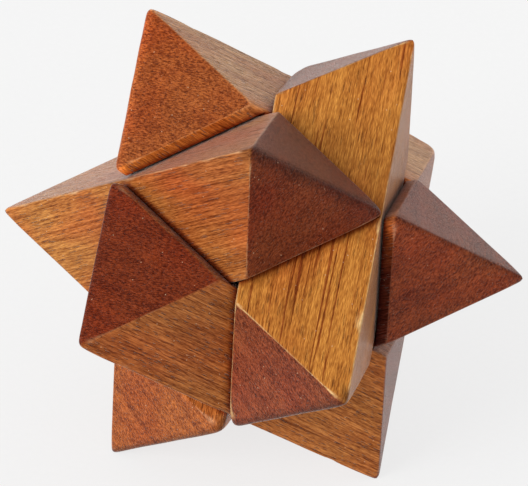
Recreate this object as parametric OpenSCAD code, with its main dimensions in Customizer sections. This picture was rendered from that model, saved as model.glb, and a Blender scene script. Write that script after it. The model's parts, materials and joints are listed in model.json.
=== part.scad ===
// Six-piece diagonal burr with long wedge-cut ends.
//
// Six square sticks lie edge-on in three crossing pairs round one centre. Each
// stick has a V-shaped end at both tips, so together they show twelve points.
// Where two sticks cross, one of them is notched to let the other through:
//   key bar      no notches, so it draws out along its own length
//   saddle bars  two grooves in the inner edge and one notch in the side edge
//                that the key bar lies in
//   other bars   two grooves in the inner edge
//
// Each bar is made in its own frame: length along X, inner edge towards -Z, and
// the puzzle's centre at the origin. The bars are then turned into place and the
// puzzle is stood up on three points, with a three-fold axis along +Z.
// All sizes are in millimetres.

/* [Sticks] */
// Side of the square stick
stick_side = 20; // [14:0.5:30]
// How far a wedge edge reaches past the stick it crosses
end_overhang = 2.9; // [0.5:0.1:8]
// Radius of the worn long edges and wedge edges
edge_round = 0.6; // [0.2:0.1:1.5]

/* [Fit] */
// How far each stick stands out from its tightest place
spread = 0.55; // [0.35:0.05:1.6]
// Gap between a notch and the stick that lies in it
notch_gap = 0.3; // [0.1:0.05:0.5]

/* [Hidden] */

// Half the diagonal of the stick's square section
half_diagonal = stick_side / sqrt(2);
// From the puzzle's centre to the middle of a stick
centre_distance = half_diagonal + spread;
half_length = 2 * half_diagonal + end_overhang;
// From the puzzle's centre to a stick's outer edge
outer_reach = 2 * half_diagonal + spread;
// A point's rounded tip is lower than its sharp corner by this share of the radius
tip_loss = 2 * sqrt(2) - sqrt(5);
rest_height = (half_length + outer_reach - tip_loss * edge_round) / sqrt(3);
// Angle between a cube's body diagonal and its edge
diagonal_tilt = acos(1 / sqrt(3));
// Long enough to cut right through a stick
cut_length = 4 * half_diagonal;
round_steps = 48;

// Square section standing on its corner, with all four corners rounded
module stick_section() {
    flat = stick_side - 2 * edge_round;
    corner = flat / 2;
    rotate(45) {
        square([stick_side, flat], center = true);
        square([flat, stick_side], center = true);
        for (x = [-corner, corner], y = [-corner, corner])
            translate([x, y]) circle(r = edge_round, $fn = round_steps);
    }
}

// The stick seen from above: parallel sides and a right-angled wedge at each
// end, with the wedge edge rounded
module end_outline() {
    tangent = edge_round / sqrt(2);
    shoulder = half_length - half_diagonal;
    tip = half_length - tangent;
    polygon([
        [tip, -tangent], [tip, tangent],
        [shoulder, half_diagonal], [-shoulder, half_diagonal],
        [-tip, tangent], [-tip, -tangent],
        [-shoulder, -half_diagonal], [shoulder, -half_diagonal]
    ]);
    for (end = [-1, 1])
        translate([end * (half_length - sqrt(2) * edge_round), 0])
            circle(r = edge_round, $fn = round_steps);
}

module plain_stick() {
    intersection() {
        translate([0, 0, centre_distance])
            rotate([90, 0, 90])
                linear_extrude(2 * half_length, center = true) stick_section();
        linear_extrude(2 * outer_reach + edge_round) end_outline();
    }
}

// The room a crossing stick needs: its sharp square section plus the gap
module crossing_room() {
    linear_extrude(cut_length, center = true)
        rotate(45) square(stick_side + 2 * notch_gap, center = true);
}

// A stick with two grooves across its inner edge if grooved is true, and a notch
// in the side edge towards +Y or -Y if side is 1 or -1 (none if it is 0)
module bar(grooved, side) {
    difference() {
        plain_stick();
        if (grooved)
            for (end = [-1, 1])
                translate([end * centre_distance, 0, 0])
                    rotate([90, 0, 0]) crossing_room();
        if (side != 0)
            translate([0, side * centre_distance, centre_distance])
                crossing_room();
    }
}

// Turns a bar to one of the three crossing directions (0, 1 or 2), on the upper
// or the lower side of the puzzle
module in_place(direction, lower = false) {
    translate([0, 0, rest_height])
        rotate([0, -diagonal_tilt, 0])
            rotate([0, 0, -45])
                rotate(a = 120 * direction, v = [1, 1, 1])
                    rotate([lower ? 180 : 0, 0, 0])
                        children();
}

module key_bar() {
    color("peru")
        in_place(0) bar(grooved = false, side = 0);
}

module saddle_bar_upper() {
    color("goldenrod")
        in_place(1) bar(grooved = true, side = 1);
}

module saddle_bar_lower() {
    color("chocolate")
        in_place(1, lower = true) bar(grooved = true, side = -1);
}

module side_bar_upper() {
    color("sienna")
        in_place(2) bar(grooved = true, side = 0);
}

module side_bar_lower() {
    color("saddlebrown")
        in_place(2, lower = true) bar(grooved = true, side = 0);
}

module base_bar() {
    color("brown")
        in_place(0, lower = true) bar(grooved = true, side = 0);
}

key_bar();
saddle_bar_upper();
saddle_bar_lower();
side_bar_upper();
side_bar_lower();
base_bar();
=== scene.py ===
"""Looks of the six-piece wooden burr puzzle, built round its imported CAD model.

Each bar is one mesh, made in its own frame: length along X, across along Y, and Z
outwards from the puzzle's centre, with the origin in the middle of the stick. Its
surface is the level set of a field, so that edges and points can be worn by
different amounts. The notches are cut into it afterwards.
"""
import json
import math

import bmesh
import bpy
import numpy as np
from mathutils import Matrix, Vector


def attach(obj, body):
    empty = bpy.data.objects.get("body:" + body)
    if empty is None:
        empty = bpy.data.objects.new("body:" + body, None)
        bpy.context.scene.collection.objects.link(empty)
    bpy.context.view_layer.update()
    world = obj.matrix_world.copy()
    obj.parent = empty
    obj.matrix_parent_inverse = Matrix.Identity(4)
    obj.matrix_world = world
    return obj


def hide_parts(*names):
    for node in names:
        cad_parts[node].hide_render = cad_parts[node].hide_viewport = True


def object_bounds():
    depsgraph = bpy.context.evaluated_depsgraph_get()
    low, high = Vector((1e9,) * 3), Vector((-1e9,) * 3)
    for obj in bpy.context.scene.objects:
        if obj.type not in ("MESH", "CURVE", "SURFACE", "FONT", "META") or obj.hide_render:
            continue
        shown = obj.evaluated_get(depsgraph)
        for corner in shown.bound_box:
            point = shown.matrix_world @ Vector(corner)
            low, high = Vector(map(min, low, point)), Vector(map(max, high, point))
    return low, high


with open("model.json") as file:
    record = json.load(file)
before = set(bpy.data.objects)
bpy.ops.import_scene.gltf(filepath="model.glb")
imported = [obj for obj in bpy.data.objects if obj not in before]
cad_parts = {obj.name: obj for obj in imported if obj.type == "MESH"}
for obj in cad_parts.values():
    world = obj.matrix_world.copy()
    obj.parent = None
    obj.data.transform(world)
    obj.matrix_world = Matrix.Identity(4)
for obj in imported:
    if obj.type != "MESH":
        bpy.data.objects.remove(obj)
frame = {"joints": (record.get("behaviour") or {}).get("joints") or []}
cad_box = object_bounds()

MM = 0.001
SQRT2 = math.sqrt(2)
# The signs of the two ends of a bar, and of its two sides
BOTH = (1, -1)
CENTRE = (cad_box[0] + cad_box[1]) / 2

# The sticks, as the CAD part has them
STICK_SIDE = 20 * MM
END_OVERHANG = 2.9 * MM
SPREAD = 0.55 * MM
NOTCH_GAP = 0.3 * MM
HALF_DIAGONAL = STICK_SIDE / SQRT2
CENTRE_DISTANCE = HALF_DIAGONAL + SPREAD
HALF_LENGTH = 2 * HALF_DIAGONAL + END_OVERHANG

# Radii of the worn edges, and how far from a point its own radius is felt
LONG_EDGE = 0.3 * MM
SLANT_EDGE = 0.25 * MM
POINT_REACH = 2.2 * MM
# The share by which the radii vary from place to place, and how slowly
WEAR_VARIES = 0.3
WEAR_WAVELENGTH = 9 * MM
# How low the faces lie on average, in slow waves
HOLLOW = 0.015 * MM
HOLLOW_WAVELENGTH = 22 * MM
# Small dents along the edges: how many a bar has, their sizes and depths in
# millimetres, and their width as a share of their length
NICKS = 14
NICK_SIZE = (0.4, 1.1)
NICK_DEPTH = (0.03, 0.11)
NICK_WIDTH = 0.6

# The strips of small faces along the edges, the longest edge of the mesh elsewhere,
# and how often it is split and then moved on to the worn surface
BEVEL = 0.7 * MM
BEVEL_STEPS = 4
LONGEST_EDGE = 1.3 * MM
MOST_SPLITS = 12
SETTLE_ROUNDS = 8
# Faces that meet at less than the first angle are made one, and an edge where they
# meet at more than the second looks sharp
FLAT_ANGLE = math.radians(1)
SHARP_ANGLE = math.radians(40)
# Long enough to cut right through a stick
CUTTER_REACH = 3 * HALF_DIAGONAL

# The material slot of the notches. The rest of a bar has slot 0.
SAWN = 1
# How deep under an end's faces its own look still reaches, over how many radii a
# wedge edge's look fades out, and how wide end grain turns into long grain
END_DEPTH = 2 * MM
EDGE_FADE = 1.1
GRAIN_TURN = 0.3 * MM

# Each wood, with linear colours and lengths in millimetres:
#   heart   where the heart of its tree lies, beside the bar: across and outwards
#   long    its long grain
#   turned  what long turns into along turn: all of it where place times turn is 1,
#           half of it at 0 and none at -1, shifted a little by the patches
#   end     its end grain
#   red     what its redder patches are multiplied by
#   rings, fibres, lines, pores  how strongly its growth layers, fibres, dark lines
#           and pores show
#   reach   how long its fibres look, where 1 is short
#   pore    its pores' length and spacing, and the share of the spacing they fill
#   wax     how much of the wax its long grain has kept
WOODS = {
    "orange_brown": dict(
        heart=(-40, -75),
        # Painted light: the across part of turn makes the side at +Y, the top face under the
        # crossing bar, lighter than the front
        long=(0.37, 0.135, 0.027), turned=(0.31, 0.096, 0.021), turn=(0.08, -0.12, 0.0),
        end=(0.13, 0.024, 0.006), red=(1.00, 0.66, 0.55),
        rings=0.15, fibres=0.9, lines=0.2, reach=2.4, pores=0.25, pore=(4.5, 0.34, 0.26), wax=1.0),
    "golden": dict(
        heart=(-40, -75),
        long=(0.43, 0.158, 0.026), turned=(0.34, 0.112, 0.018), turn=(0.0, -0.3, 0.0),
        end=(0.18, 0.038, 0.011), red=(1.02, 0.80, 0.80),
        rings=0.5, fibres=0.5, lines=0.9, reach=3.6, pores=0.25, pore=(5.0, 0.50, 0.22), wax=0.6),
    "chestnut": dict(
        heart=(-20, -85),
        long=(0.40, 0.115, 0.022), turned=(0.40, 0.115, 0.022), turn=(0.0, 0.0, 0.0),
        end=(0.30, 0.074, 0.014), red=(0.92, 0.75, 0.65),
        rings=0.4, fibres=1.0, lines=0.3, reach=1.5, pores=0.4, pore=(2.6, 0.40, 0.28), wax=1.0),
    "reddish": dict(
        heart=(-30, -80),
        long=(0.56, 0.155, 0.026), turned=(0.50, 0.235, 0.09), turn=(0.0, 0.0, 0.3),
        end=(0.28, 0.066, 0.013), red=(0.95, 0.70, 0.55),
        rings=0.25, fibres=0.85, lines=0.3, reach=1.5, pores=0.4, pore=(2.4, 0.38, 0.28), wax=1.0),
    "brown": dict(
        heart=(-30, -80),
        long=(0.33, 0.105, 0.021), turned=(0.285, 0.086, 0.018), turn=(0.08, 0.0, 0.0),
        end=(0.145, 0.0215, 0.0042), red=(1.04, 0.84, 0.75),
        rings=0.4, fibres=1.0, lines=0.5, reach=1.6, pores=0.65, pore=(2.4, 0.28, 0.26), wax=1.0),
    "russet": dict(
        heart=(-80, -22),
        # Painted shade: turned is near black, so the side face in the deep gap beside the saddle
        # bar is dark where turn reaches it
        long=(0.34, 0.09, 0.019), turned=(0.085, 0.016, 0.008), turn=(0.05, 0.2, 0.2),
        end=(0.19, 0.036, 0.008), red=(1.0, 0.75, 0.65),
        rings=0.4, fibres=1.0, lines=0.3, reach=1.5, pores=0.5, pore=(2.0, 0.36, 0.27), wax=1.0),
}

# Each bar, with lengths in millimetres:
#   way      which way it lies: 0, 1 or 2
#   lower    whether it is the lower one of the two that lie that way
#   grooved  whether its inner edge has the two grooves
#   side     which side edge is notched: 1 or -1 along its Y, or 0 for none
#   longer   by end (+ end, - end), how much longer it is than the CAD's
#   slope    by end, how blunt its wedge is: 1 is square, and less is blunter
#   wedge    by end, the radius of its wedge edge
#   worn  by end, how light its wedge edge is: 1 is as light as the wood beside it, more is rubbed
#   wear and less is painted shade
#   rub_and_highlight  how pale its other edges are, partly rubbed wear and partly a painted
#   highlight
#   points   the radii of its four points, by (end, outwards)
BARS = {
    "key_bar": dict(
        way=0, lower=False, grooved=False, side=0, wood="orange_brown",
        longer=(-0.35, 0.0), slope=(0.97, 1.0), wedge=(1.4, 0.5), worn=(0.55, 1.1), rub_and_highlight=0.6,
        points={(1, 1): 0.7, (1, -1): 0.9, (-1, 1): 0.6, (-1, -1): 1.0}),
    "saddle_bar_upper": dict(
        way=1, lower=False, grooved=True, side=1, wood="golden",
        longer=(-0.85, 0.2), slope=(0.90, 1.0), wedge=(0.6, 1.0), worn=(1.0, 0.5), rub_and_highlight=1.0,
        points={(1, 1): 0.6, (1, -1): 1.8, (-1, 1): 0.9, (-1, -1): 1.5}),
    "saddle_bar_lower": dict(
        way=1, lower=True, grooved=True, side=-1, wood="chestnut",
        longer=(-1.2, 0.6), slope=(1.0, 1.0), wedge=(0.8, 0.9), worn=(1.0, 0.45), rub_and_highlight=0.6,
        points={(1, 1): 1.6, (1, -1): 1.2, (-1, 1): 0.6, (-1, -1): 1.3}),
    "side_bar_upper": dict(
        way=2, lower=False, grooved=True, side=0, wood="reddish",
        longer=(-0.05, 0.0), slope=(0.96, 1.0), wedge=(1.1, 0.7), worn=(1.5, 1.0), rub_and_highlight=0.4,
        points={(1, 1): 0.7, (1, -1): 1.0, (-1, 1): 1.3, (-1, -1): 1.2}),
    "side_bar_lower": dict(
        way=2, lower=True, grooved=True, side=0, wood="brown",
        longer=(0.1, 0.55), slope=(1.0, 1.0), wedge=(0.7, 0.6), worn=(0.8, 0.8), rub_and_highlight=0.3,
        points={(1, 1): 0.9, (1, -1): 1.0, (-1, 1): 0.6, (-1, -1): 1.2}),
    "base_bar": dict(
        way=0, lower=True, grooved=True, side=0, wood="russet",
        longer=(0.1, 0.55), slope=(1.0, 1.0), wedge=(0.7, 0.7), worn=(0.75, 1.0), rub_and_highlight=0.4,
        points={(1, 1): 0.7, (1, -1): 1.0, (-1, 1): 0.6, (-1, -1): 1.2}),
}

# How far apart, in millimetres, one bar's patterns are taken from the next one's
SEED_SHIFT = (137.0, 31.0, 57.0)
# How often each pattern of the wood repeats in a millimetre: along the bar, across
# it and outwards. The fibres' first value is for a reach of 1.
DRIFT = (0.012, 0.04, 0.04)
LINES = (0.025, 2.4, 2.4)
FIBRES = (0.10, 3.3, 3.3)
LONG_SPECKLE = (0.85, 7.0, 7.0)
END_SPECKLE = (0.8, 2.0, 6.0)
CLOUDS = (0.2, 0.32, 0.32)
PATCHES = (0.05, 0.10, 0.10)
UNEVEN_EDGE = (0.6, 0.6, 0.6)
UNEVEN_RUB = (0.9, 1.6, 1.6)
SAW_MARKS = (1.2, 0.4, 0.4)
# Growth layers in a millimetre, how often they change in a millimetre along the bar,
# and how wide a band, in millimetres, the grain strays over
RINGS = 0.55
RINGS_ALONG = 0.01
STRAY = 6.0

# What a colour is multiplied by where the wood is dark, light, lined, open, in painted shade
# in the gaps and corners between bars, pale at the edges (partly rubbed wear, partly a painted
# highlight) or sawn, and the colour of pale specks that are partly dust and partly painted glints
DARK = (0.42, 0.31, 0.28)
LIGHT = (1.65, 1.95, 2.2)
DARK_LINE = (0.42, 0.22, 0.18)
OPEN_PORE = (0.35, 0.27, 0.25)
# Painted shade in the gaps and corners where bars meet
GAP_SHADE = (0.38, 0.15, 0.13)
CORNER_SHADE = (0.48, 0.24, 0.21)
RUBBED_AND_HIGHLIGHT = (1.7, 3.0, 8.0)
FRESHLY_SAWN = (1.2, 1.4, 1.6)
DUST_AND_GLINT = (0.62, 0.40, 0.25)

# Finish
RELIEF = 0.2 * MM
WAXED_ROUGHNESS = 0.30
SAWN_ROUGHNESS = 0.7
WAX_COAT = 0.55
WOOD_SETTINGS = {"Specular IOR Level": 0.06}
WAX_SETTINGS = {
    "Coat IOR": 1.22,
    "Coat Roughness": 0.28,
    "Sheen Weight": 0.26,
    "Sheen Roughness": 0.3,
    "Sheen Tint": (1.0, 0.88, 0.78, 1.0),
}


# ---------------------------------------------------------------- placing the bars

def bar_directions():
    """The three ways the bars lie, worked out from the joints' axes."""
    axes = {j["name"]: Vector(j["axis"]) for j in frame["joints"]}
    x = axes["key_slide"]
    y = x - SQRT2 * axes["side_bar_lower_spread"]
    z = x - SQRT2 * axes["base_bar_spread"]
    return x, y, z


def place_of(bar):
    """The matrix that takes a bar from its own frame to its place."""
    directions = bar_directions()
    along, across, out = (directions[(bar["way"] + i) % 3] for i in range(3))
    if bar["lower"]:
        across, out = -across, -out
    place = Matrix((along, across, out)).transposed().to_4x4()
    place.translation = CENTRE + out * CENTRE_DISTANCE
    return place


# ---------------------------------------------------------------- the worn surface

def smooth_max(values, radius):
    """The largest of several fields, with the corner between them rounded."""
    # a square corner then loses as much as it would to a fillet of this radius
    like_a_fillet = 2.366
    sharpness = like_a_fillet / radius
    values = np.stack(values)
    top = values.max(0)
    return top + np.log(np.exp(sharpness * (values - top)).sum(0)) / sharpness


def ripple(points, seed, wavelength):
    """Smooth noise from about -1 to 1: a sum of sines in seeded directions."""
    waves = 7
    shares = (0.6, 1.6)
    highest = 1.6
    rng = np.random.default_rng(seed)
    total = np.zeros(len(points))
    for _ in range(waves):
        direction = rng.normal(size=3)
        direction *= 2 * math.pi / (wavelength * rng.uniform(*shares)) / np.linalg.norm(direction)
        total += np.sin(points @ direction + rng.uniform(0, 2 * math.pi))
    return total / math.sqrt(waves) / highest


def by_end(pair, end):
    """The one of a pair that belongs to the + or - end."""
    return pair[0 if end > 0 else 1]


def end_reach(bar, end):
    """From the stick's middle to the sharp wedge edge at its + or - end."""
    return HALF_LENGTH + by_end(bar["longer"], end) * MM


def stick_planes(points, bar):
    """Distances to the four long faces, and to the two wedge faces at each end."""
    x, y, z = points.T
    long_faces = [(side * y + out * z - HALF_DIAGONAL) / SQRT2 for side in BOTH for out in BOTH]
    ends = []
    for end in BOTH:
        slope = by_end(bar["slope"], end)
        steepness = math.hypot(1, slope)
        reach = end_reach(bar, end)
        ends.append([(end * x + side * slope * y - reach) / steepness for side in BOTH])
    return long_faces, ends


def point_radius(points, bar, radius):
    """radius, growing to each point's own radius near that point."""
    for (end, out), size in bar["points"].items():
        tip = np.array([end * end_reach(bar, end), 0, out * HALF_DIAGONAL])
        gap = np.linalg.norm(points - tip, axis=1) / (POINT_REACH + size * MM)
        near = np.exp(-gap ** 2)
        radius = radius + (size * MM - radius).clip(0) * near
    return radius


def nick_field(points, seed):
    """Small dents along the stick's edges, but not along its inner one."""
    edges = [(0, HALF_DIAGONAL), (HALF_DIAGONAL, 0), (-HALF_DIAGONAL, 0)]
    rng = np.random.default_rng(seed)
    total = np.zeros(len(points))
    for _ in range(NICKS):
        edge = edges[rng.integers(len(edges))]
        reach = HALF_LENGTH - abs(edge[0])
        centre = np.array([rng.uniform(-reach, reach), *edge])
        size = rng.uniform(*NICK_SIZE) * MM
        gap = np.linalg.norm((points - centre) * [NICK_WIDTH, 1, 1], axis=1) / size
        total += rng.uniform(*NICK_DEPTH) * MM * np.exp(-gap ** 2)
    return total


def stick_field(points, bar, seed):
    """Negative inside the worn stick and positive outside, in metres."""
    long_faces, ends = stick_planes(points, bar)
    wear = 1 + WEAR_VARIES * ripple(points, seed, WEAR_WAVELENGTH)
    body = smooth_max(long_faces, point_radius(points, bar, LONG_EDGE * wear))
    tips = [smooth_max(end, radius * MM * wear) for end, radius in zip(ends, bar["wedge"])]
    field = smooth_max([body, *tips], point_radius(points, bar, SLANT_EDGE * wear))
    hollow = HOLLOW * (1 + ripple(points, seed + 1, HOLLOW_WAVELENGTH))
    return field + hollow + nick_field(points, seed + 2)


def settle(points, bar, seed):
    """Moves points on to the worn surface."""
    step = 0.01 * MM
    least_square = 0.2
    for _ in range(SETTLE_ROUNDS):
        value = stick_field(points, bar, seed)
        ahead = [stick_field(points + step * axis, bar, seed) - value for axis in np.eye(3)]
        slope = np.stack(ahead, 1) / step
        points = points - slope * (value / (slope ** 2).sum(1).clip(least_square))[:, None]
    return points


# ---------------------------------------------------------------- the sticks

def convex_mesh(bm):
    """Closes a bmesh of bare corners with the flat faces that their hull has."""
    bmesh.ops.convex_hull(bm, input=bm.verts)
    bmesh.ops.dissolve_limit(bm, angle_limit=FLAT_ANGLE, verts=bm.verts, edges=bm.edges)


def as_mesh(bm, name):
    """Ends a bmesh, and gives what it held as a mesh."""
    mesh = bpy.data.meshes.new(name)
    bm.to_mesh(mesh)
    bm.free()
    return mesh


def sharp_stick(bar):
    """The stick with sharp edges, as a bmesh."""
    bm = bmesh.new()
    for end in BOTH:
        reach = end_reach(bar, end)
        shoulder = reach - by_end(bar["slope"], end) * HALF_DIAGONAL
        for side in BOTH:
            bm.verts.new((end * reach, 0, side * HALF_DIAGONAL))
            bm.verts.new((end * shoulder, side * HALF_DIAGONAL, 0))
    convex_mesh(bm)
    return bm


def refine(bm):
    """Splits every edge longer than LONGEST_EDGE, until none is left."""
    for _ in range(MOST_SPLITS):
        edges = [e for e in bm.edges if e.calc_length() > LONGEST_EDGE]
        if not edges:
            break
        bmesh.ops.subdivide_edges(bm, edges=edges, cuts=1)
        bmesh.ops.triangulate(bm, faces=bm.faces, quad_method="SHORT_EDGE", ngon_method="BEAUTY")


def worn_stick(name, bar, seed):
    """The whole worn stick, with no notches, as a fine mesh."""
    bm = sharp_stick(bar)
    bmesh.ops.bevel(bm, geom=bm.edges[:], offset=BEVEL, segments=BEVEL_STEPS,
                    profile=0.5, affect="EDGES", clamp_overlap=True)
    bmesh.ops.triangulate(bm, faces=bm.faces)
    refine(bm)
    points = np.array([v.co for v in bm.verts])
    for vert, place in zip(bm.verts, settle(points, bar, seed)):
        vert.co = place
    bmesh.ops.recalc_face_normals(bm, faces=bm.faces)
    return as_mesh(bm, name)


# ---------------------------------------------------------------- notches

def crossing_stick(along, middle):
    """A square block that stands for the room of a crossing stick."""
    half = HALF_DIAGONAL + SQRT2 * NOTCH_GAP
    bm = bmesh.new()
    for end in BOTH:
        for side in BOTH:
            for axis in range(3):
                if axis == along:
                    continue
                corner = Vector(middle)
                corner[along] += end * CUTTER_REACH
                corner[axis] += side * half
                bm.verts.new(corner)
    convex_mesh(bm)
    bmesh.ops.recalc_face_normals(bm, faces=bm.faces)
    for face in bm.faces:
        face.material_index = SAWN
    return as_mesh(bm, "crossing_stick")


def notch_rooms(bar):
    """Each notch as the axis its crossing stick runs along, and that stick's middle."""
    rooms = []
    if bar["grooved"]:
        rooms += [(1, (end * CENTRE_DISTANCE, 0, -CENTRE_DISTANCE)) for end in BOTH]
    if bar["side"]:
        rooms.append((2, (0, bar["side"] * CENTRE_DISTANCE, -CENTRE_DISTANCE)))
    return rooms


def cut_notches(piece, bar):
    """Cuts the bar's notches, whose faces take the sawn material."""
    cutters = []
    for along, middle in notch_rooms(bar):
        cutter = bpy.data.objects.new("cutter", crossing_stick(along, middle))
        for material in piece.data.materials:
            cutter.data.materials.append(material)
        bpy.context.scene.collection.objects.link(cutter)
        modifier = piece.modifiers.new("notch", "BOOLEAN")
        modifier.operation = "DIFFERENCE"
        modifier.solver = "EXACT"
        modifier.object = cutter
        cutters.append(cutter)
    bpy.context.view_layer.update()
    cut = piece.evaluated_get(bpy.context.evaluated_depsgraph_get())
    mesh = bpy.data.meshes.new_from_object(cut)
    piece.modifiers.clear()
    piece.data = mesh
    for cutter in cutters:
        bpy.data.objects.remove(cutter)


def finish_shading(piece):
    """Smooth shading, with sharp edges where the faces turn by more than SHARP_ANGLE."""
    bm = bmesh.new()
    bm.from_mesh(piece.data)
    for face in bm.faces:
        face.smooth = True
    for edge in bm.edges:
        edge.smooth = edge.calc_face_angle(0) < SHARP_ANGLE
    bm.to_mesh(piece.data)
    bm.free()


# ---------------------------------------------------------------- what the materials need

def wedge_edge(end, radius, width):
    """1 on a wedge edge, fading to 0 beside it at width times EDGE_FADE radii. end is
    the distances to the edge's two faces."""
    aside = np.abs(end[0] - end[1]) / (radius * MM)
    near = np.maximum(*end) > -END_DEPTH
    return (width - aside / EDGE_FADE).clip(0, 1) * near


def rub_and_highlight_share(bar, side, tip, ends):
    """How pale each place is, partly rubbed wear and partly a painted highlight along the edges:
    pale where more than a little of the sharp stick is worn off, and fully where twice that is, but
    not on the wedge edges."""
    little = 0.055 * MM
    left_out = 2.2
    share = (-np.maximum(side, tip) / little - 1.0).clip(0, 1)
    for end, radius in zip(ends, bar["wedge"]):
        share *= 1 - wedge_edge(end, radius, left_out)
    return share * bar["rub_and_highlight"]


def wedge_edge_tone(bar, ends):
    """What the colour is multiplied by: 1, and the bar's own values on the wedge edges, above 1 for
    rubbed wear and below 1 for painted shade.
    """
    width = 1.5
    tone = np.ones(len(ends[0][0]))
    for end, worn, radius in zip(ends, bar["worn"], bar["wedge"]):
        tone += (worn - 1) * wedge_edge(end, radius, width)
    return tone


def mark_grain(piece, bar):
    """Stores what the materials need at each vertex: grain, its place in the bar in
    millimetres; end_cut, how far the surface cuts across the fibres; wear, how pale its edges are,
    partly rubbed wear and partly a painted highlight; and edge_tone, how light the wedge edges are,
    lighter for wear and darker for painted shade."""
    points = np.array([v.co for v in piece.data.vertices])
    long_faces, ends = stick_planes(points, bar)
    side = np.max(np.stack(long_faces), 0)
    tip = np.max(np.stack(ends[0] + ends[1]), 0)
    for name, kind, field, values in (
        ("grain", "FLOAT_VECTOR", "vector", points / MM),
        ("end_cut", "FLOAT", "value", ((tip - side) / GRAIN_TURN + 0.5).clip(0, 1)),
        ("wear", "FLOAT", "value", rub_and_highlight_share(bar, side, tip, ends)),
        ("edge_tone", "FLOAT", "value", wedge_edge_tone(bar, ends)),
    ):
        data = piece.data.attributes.new(name, kind, "POINT").data
        data.foreach_set(field, values.astype(np.float32).ravel())


# ---------------------------------------------------------------- materials

class Graph:
    """A short way to write a material's nodes."""

    def __init__(self, name):
        self.material = bpy.data.materials.new(name)
        self.material.use_nodes = True
        self.nodes = self.material.node_tree.nodes
        self.links = self.material.node_tree.links
        self.shader = self.nodes["Principled BSDF"]

    def add(self, kind, inputs=(), **settings):
        node = self.nodes.new("ShaderNode" + kind)
        for name, value in settings.items():
            setattr(node, name, value)
        for key, value in dict(inputs).items():
            self.set(node.inputs[key], value)
        return node

    def set(self, socket, value):
        if isinstance(value, bpy.types.NodeSocket):
            self.links.new(value, socket)
        else:
            socket.default_value = value

    def settings(self, values):
        """Shader settings that are the same all over the surface."""
        for name, value in values.items():
            self.shader.inputs[name].default_value = value

    def attribute(self, name, output="Fac"):
        return self.add("Attribute", attribute_name=name).outputs[output]

    def math(self, operation, a, b, clamp=False):
        return self.add("Math", {0: a, 1: b}, operation=operation, use_clamp=clamp).outputs[0]

    def vector(self, operation, a, b=(0.0, 0.0, 0.0), output="Vector"):
        return self.add("VectorMath", {0: a, 1: b}, operation=operation).outputs[output]

    def noise(self, place, repeats, detail=2.0, roughness=0.5, output="Fac"):
        """Noise that repeats so often per unit of place, along each of its axes."""
        scaled = self.vector("MULTIPLY", place, repeats)
        node = self.add("TexNoise", {"Vector": scaled, "Scale": 1.0, "Detail": detail,
                                     "Roughness": roughness})
        return node.outputs[output]

    def cells(self, place, repeats):
        """Distance to the nearest of scattered dots, in steps of their spacing."""
        scaled = self.vector("MULTIPLY", place, repeats)
        return self.add("TexVoronoi", {"Vector": scaled, "Scale": 1.0}).outputs["Distance"]

    def remap(self, value, low, high, to_low=0.0, to_high=1.0):
        node = self.add("MapRange", {"Value": value, "From Min": low, "From Max": high,
                                     "To Min": to_low, "To Max": to_high})
        return node.outputs[0]

    def mix(self, factor, a, b, blend="MIX"):
        node = self.add("Mix", data_type="RGBA", blend_type=blend)
        colours = [s for s in node.inputs if s.type == "RGBA"]
        self.set(node.inputs[0], factor)
        self.set(colours[0], a)
        self.set(colours[1], b)
        return next(s for s in node.outputs if s.type == "RGBA")

    def multiply(self, colour, factor, share=None):
        """colour times factor, or only as far towards it as share says."""
        product = self.mix(1.0, colour, factor, "MULTIPLY")
        return product if share is None else self.mix(share, colour, product)


def rgba(colour, factors=(1, 1, 1)):
    """A colour with its alpha, each of its channels multiplied by a factor."""
    return (*(c * f for c, f in zip(colour, factors)), 1.0)


def grain_coordinates(g, seed):
    """Place in the bar in millimetres, shifted for each bar: straight, and with the
    grain's drift."""
    shift = tuple(seed * step for step in SEED_SHIFT)
    here = g.vector("ADD", g.attribute("grain", "Vector"), shift)
    wander = g.vector("SUBTRACT", g.noise(here, DRIFT, detail=0.0, output="Color"), (0.5, 0.5, 0.5))
    drift = g.vector("MULTIPLY", wander, (0.0, STRAY, STRAY))
    return here, g.vector("ADD", here, drift)


def ring_pattern(g, grain, heart):
    """Uneven growth layers round the heart of the tree, which lies outside the bar."""
    across = g.vector("SUBTRACT", g.vector("MULTIPLY", grain, (0.0, 1.0, 1.0)), (0.0, *heart))
    radius = g.vector("LENGTH", across, output="Value")
    along = g.add("SeparateXYZ", {0: grain}).outputs["X"]
    layer = g.add("CombineXYZ", {0: radius, 1: along}).outputs[0]
    return g.noise(layer, (RINGS, RINGS_ALONG, 0.0), detail=4.0, roughness=0.65)


def pore_pattern(g, grain, size):
    """Short grooves along the grain: 1 in a pore, 0 elsewhere."""
    length, spacing, share = size
    distance = g.cells(grain, (1 / length, 1 / spacing, 1 / spacing))
    return g.remap(distance, share, share * 0.6)


def wood_patterns(g, wood, seed):
    """Every pattern in the wood by its name, from 0 to 1, with the places that they
    are made from and end_cut, which is 1 on end grain and 0 on long grain."""
    here, grain = grain_coordinates(g, seed)
    end_cut = g.attribute("end_cut")
    fibre_repeats = (FIBRES[0] / wood["reach"], *FIBRES[1:])
    long_speckle = g.noise(grain, LONG_SPECKLE, detail=1.0, roughness=0.6)
    end_speckle = g.noise(here, END_SPECKLE, detail=2.0, roughness=0.8)
    pores = pore_pattern(g, grain, wood["pore"])
    return {
        "here": here,
        "end_cut": end_cut,
        "rings": ring_pattern(g, grain, wood["heart"]),
        "lines": g.noise(grain, LINES, detail=1.0),
        "fibres": g.noise(grain, fibre_repeats, detail=2.0, roughness=0.8),
        "speckle": g.mix(end_cut, long_speckle, end_speckle),
        "clouds": g.noise(here, CLOUDS),
        "patches": g.noise(here, PATCHES),
        "pores": g.math("MULTIPLY", pores, g.remap(end_cut, 0, 1, 1.0, 0.5)),
    }


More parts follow.
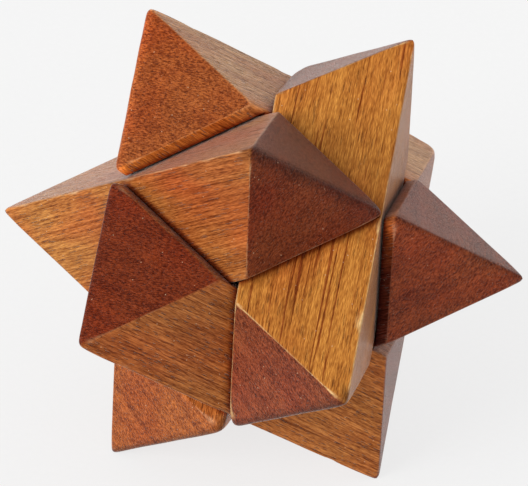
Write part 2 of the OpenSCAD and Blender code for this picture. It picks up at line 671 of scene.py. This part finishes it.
def tone_pattern(g, wood, patterns):
    """0.5 on average, and down to 0 where the wood is darker and up to 1 where it is
    lighter. Each pattern has a strength on long grain and one on end grain."""
    strengths = {
        "rings": (2.2 * wood["rings"], 3.2 * wood["rings"]),
        "fibres": (2.1 * wood["fibres"], 0.9),
        "speckle": (1.4, 3.5),
        "clouds": (0.2, 0.45),
    }
    tone = 0.0
    for name, (on_long, on_end) in strengths.items():
        swing = g.math("SUBTRACT", patterns[name], 0.5)
        strength = g.remap(patterns["end_cut"], 0, 1, on_long, on_end)
        tone = g.math("ADD", tone, g.math("MULTIPLY", swing, strength))
    return g.math("ADD", tone, 0.5, clamp=True)


def plain_colour(g, wood, patterns):
    """The colour with no grain in it, which changes slowly over the bar: wood tone, and on the key
    bar and the base bar also painted light and shade through turned.
    """
    patches = patterns["patches"]
    place = g.attribute("grain", "Vector")
    turn = g.vector("DOT_PRODUCT", place, wood["turn"], output="Value")
    turn = g.math("ADD", turn, g.remap(patches, 0.3, 0.7, -0.3, 0.3))
    board = g.mix(g.remap(turn, -1.0, 1.0), rgba(wood["long"]), rgba(wood["turned"]))
    return g.mix(patterns["end_cut"], board, rgba(wood["end"]))


def grained_colour(g, wood, patterns):
    """The wood's colour with its grain, redder patches, long dark lines and pores."""
    base = plain_colour(g, wood, patterns)
    tone = tone_pattern(g, wood, patterns)
    light = g.multiply(base, rgba(LIGHT))
    dark = g.multiply(base, rgba(DARK))
    colour = g.mix(g.remap(tone, 0.5, 0.0), g.mix(g.remap(tone, 0.5, 1.0), base, light), dark)
    colour = g.multiply(colour, rgba(wood["red"]), g.remap(patterns["patches"], 0.42, 0.68))
    lines = g.math("MULTIPLY", g.remap(patterns["lines"], 0.63, 0.71), wood["lines"])
    colour = g.multiply(colour, rgba(DARK_LINE), lines)
    pores = g.math("MULTIPLY", patterns["pores"], wood["pores"])
    return g.multiply(colour, rgba(OPEN_PORE), pores)


def handled_colour_and_painted_light(g, colour, wood, here):
    """The colour after years of use, with painted light: the wedge edges lighter for wear and
    darker for painted shade, the other edges pale, partly rubbed wear and partly a painted
    highlight, and pale specks in the grain, partly dust and partly painted glints."""
    uneven = g.remap(g.noise(here, UNEVEN_EDGE, detail=3.0), 0.35, 0.65, 0.7, 1.0)
    # Painted shade where edge_tone is below 1, rubbed wear where it is above
    colour = g.multiply(colour, g.attribute("edge_tone"), uneven)
    patchy = g.remap(g.noise(here, UNEVEN_RUB, detail=3.0), 0.40, 0.60, 0.45, 1.0)
    rub_and_highlight = g.math("MULTIPLY", g.attribute("wear"), patchy)
    # Pale edges: partly rubbed wear, partly a painted highlight
    colour = g.mix(rub_and_highlight, colour, rgba(wood["long"], RUBBED_AND_HIGHLIGHT))
    # Pale specks: partly dust, partly painted glints
    specks = g.cells(here, (0.6, 0.6, 0.6))
    return g.mix(g.remap(specks, 0.065, 0.040, 0.0, 0.75), colour, rgba(DUST_AND_GLINT))


def sawn_colour(g, colour, wood, saw_marks):
    """The paler, fuzzy colour of a notch that was sawn and never waxed."""
    return g.mix(g.remap(saw_marks, 0.3, 0.7, 0.1, 0.45), colour, rgba(wood["long"], FRESHLY_SAWN))


def paint_corner_shade(g, colour):
    """Painted shade: darkens the colour in the gaps and corners where bars meet, by how hidden each
    place is.
    """
    # Painted shade in the deep gaps between bars
    gap = g.add("AmbientOcclusion", {"Distance": 5.0 * MM}, samples=6).outputs["AO"]
    colour = g.multiply(colour, rgba(GAP_SHADE), g.remap(gap, 0.05, 0.32, 1.0, 0.0))
    # Painted shade in the corners where bars touch
    corner = g.add("AmbientOcclusion", {"Distance": 1.2 * MM}, samples=8).outputs["AO"]
    return g.multiply(colour, rgba(CORNER_SHADE), g.remap(corner, 0.50, 0.95, 1.0, 0.0))


def grain_relief(g, patterns):
    """The height of the fibres, the speckle and the pores."""
    fibres = g.math("MULTIPLY", patterns["fibres"], 0.5)
    speckle = g.math("MULTIPLY", patterns["speckle"], 0.5)
    pores = g.math("MULTIPLY", patterns["pores"], 0.7)
    return g.math("SUBTRACT", g.math("ADD", fibres, speckle), pores)


def set_surface(g, patterns, colour, height, roughness):
    """Gives the shader the colour, the relief, and roughness that follows the grain.
    Returns the relief's normal."""
    bump = g.add("Bump", {"Height": height, "Strength": 1.0, "Distance": RELIEF}).outputs[0]
    rough = g.remap(patterns["fibres"], 0.25, 0.75, roughness - 0.06, roughness + 0.12)
    rough = g.math("ADD", rough, g.math("MULTIPLY", patterns["pores"], 0.15))
    g.set(g.shader.inputs["Base Color"], colour)
    g.set(g.shader.inputs["Roughness"], rough)
    g.set(g.shader.inputs["Normal"], bump)
    g.settings(WOOD_SETTINGS)
    return bump


def set_wax(g, wood, patterns, bump):
    """A thin wax that has stayed on the high fibres, with a soft haze over it."""
    fibres = g.math("MULTIPLY", patterns["fibres"], 0.6)
    speckle = g.math("MULTIPLY", patterns["speckle"], 0.4)
    wax = g.remap(g.math("ADD", fibres, speckle), 0.40, 0.60)
    kept = g.remap(patterns["end_cut"], 0, 1, WAX_COAT * wood["wax"], WAX_COAT)
    g.set(g.shader.inputs["Coat Weight"], g.math("MULTIPLY", wax, kept))
    g.set(g.shader.inputs["Coat Normal"], bump)
    g.settings(WAX_SETTINGS)


def waxed_wood(name, wood, seed):
    """Open-grained wood with the grain along the bar, waxed and much handled."""
    g = Graph(name)
    patterns = wood_patterns(g, wood, seed)
    colour = handled_colour_and_painted_light(g, grained_colour(g, wood, patterns), wood, patterns["here"])
    height = grain_relief(g, patterns)
    bump = set_surface(g, patterns, paint_corner_shade(g, colour), height, WAXED_ROUGHNESS)
    set_wax(g, wood, patterns, bump)
    return g.material


def sawn_wood(name, wood, seed):
    """The same wood as it was sawn, with saw marks across the grain."""
    g = Graph(name)
    patterns = wood_patterns(g, wood, seed)
    saw_marks = g.noise(patterns["here"], SAW_MARKS, detail=1.0)
    colour = sawn_colour(g, grained_colour(g, wood, patterns), wood, saw_marks)
    height = g.math("ADD", grain_relief(g, patterns), g.math("MULTIPLY", saw_marks, 1.6))
    set_surface(g, patterns, paint_corner_shade(g, colour), height, SAWN_ROUGHNESS)
    return g.material


# ---------------------------------------------------------------- building

def build_bar(name, bar, seed):
    """One bar, which rides on the CAD body of its name and replaces that node."""
    piece = bpy.data.objects.new(name + "_wood", worn_stick(name, bar, seed))
    bpy.context.scene.collection.objects.link(piece)
    wood = WOODS[bar["wood"]]
    piece.data.materials.append(waxed_wood(bar["wood"] + "_waxed", wood, seed))
    piece.data.materials.append(sawn_wood(bar["wood"] + "_sawn", wood, seed))
    cut_notches(piece, bar)
    finish_shading(piece)
    mark_grain(piece, bar)
    piece.data.transform(place_of(bar))
    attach(piece, name)
    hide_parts(name)


def build_floor():
    """A pale table that glows faintly, which keeps the shadow on it light."""
    reach = 6.0
    paper_repeats = (900.0, 900.0, 900.0)
    bm = bmesh.new()
    bmesh.ops.create_grid(bm, x_segments=8, y_segments=8, size=reach)
    floor = bpy.data.objects.new("floor", as_mesh(bm, "floor"))
    floor.location.z = cad_box[0].z
    bpy.context.scene.collection.objects.link(floor)
    g = Graph("floor_paper")
    speckle = g.noise(g.add("TexCoord").outputs["Object"], paper_repeats)
    paper = g.mix(speckle, (0.15, 0.15, 0.15, 1.0), (0.17, 0.17, 0.17, 1.0))
    g.set(g.shader.inputs["Base Color"], paper)
    g.settings({
        "Roughness": 0.9,
        "Specular IOR Level": 0.0,
        "Emission Color": (1.0, 1.0, 1.0, 1.0),
        "Emission Strength": 0.755,
    })
    floor.data.materials.append(g.material)


def build_light():
    """A broad low light from the left."""
    sun = bpy.data.lights.new("left_light", "SUN")
    sun.angle = math.radians(32)
    sun.energy = 2.2
    lamp = bpy.data.objects.new("left_light", sun)
    shines_towards = Vector((0.90, 0.30, -0.42))
    lamp.rotation_euler = shines_towards.to_track_quat("-Z", "Y").to_euler()
    bpy.context.scene.collection.objects.link(lamp)


def build_room():
    """A white room round the table, which is darker overhead."""
    heights = (0.3, 0.95)
    greys = (0.92, 0.60)
    world = bpy.data.worlds.new("studio")
    bpy.context.scene.world = world
    world.use_nodes = True
    nodes, links = world.node_tree.nodes, world.node_tree.links
    split = nodes.new("ShaderNodeSeparateXYZ")
    ramp = nodes.new("ShaderNodeValToRGB")
    links.new(nodes.new("ShaderNodeTexCoord").outputs["Generated"], split.inputs[0])
    links.new(split.outputs["Z"], ramp.inputs["Fac"])
    for element, height, grey in zip(ramp.color_ramp.elements, heights, greys):
        element.position = height
        element.color = (grey, grey, grey, 1.0)
    links.new(ramp.outputs["Color"], nodes["Background"].inputs["Color"])


def build_camera():
    """A long lens at the photo's viewing angle."""
    azimuth = math.radians(-20.841)
    elevation = math.radians(34.754)
    roll = math.radians(3.04)
    distance = 0.984
    off_centre = Vector((0.32, 0.03, 0.20)) * MM
    back = Vector((math.sin(azimuth) * math.cos(elevation),
                   -math.cos(azimuth) * math.cos(elevation),
                   math.sin(elevation)))
    data = bpy.data.cameras.new("camera")
    data.sensor_width = 36.0
    data.lens = 425.45
    data.clip_start = 0.05
    data.clip_end = 20.0
    camera = bpy.data.objects.new("camera", data)
    camera.location = CENTRE + off_centre + back * distance
    level = (-back).to_track_quat("-Z", "Y").to_matrix()
    camera.rotation_euler = (level @ Matrix.Rotation(roll, 3, "Z")).to_euler()
    bpy.context.scene.collection.objects.link(camera)
    bpy.context.scene.camera = camera


for seed, (name, bar) in enumerate(BARS.items(), start=1):
    build_bar(name, bar, seed)
build_floor()
build_light()
build_room()
build_camera()
bpy.context.scene.view_settings.view_transform = "Standard"
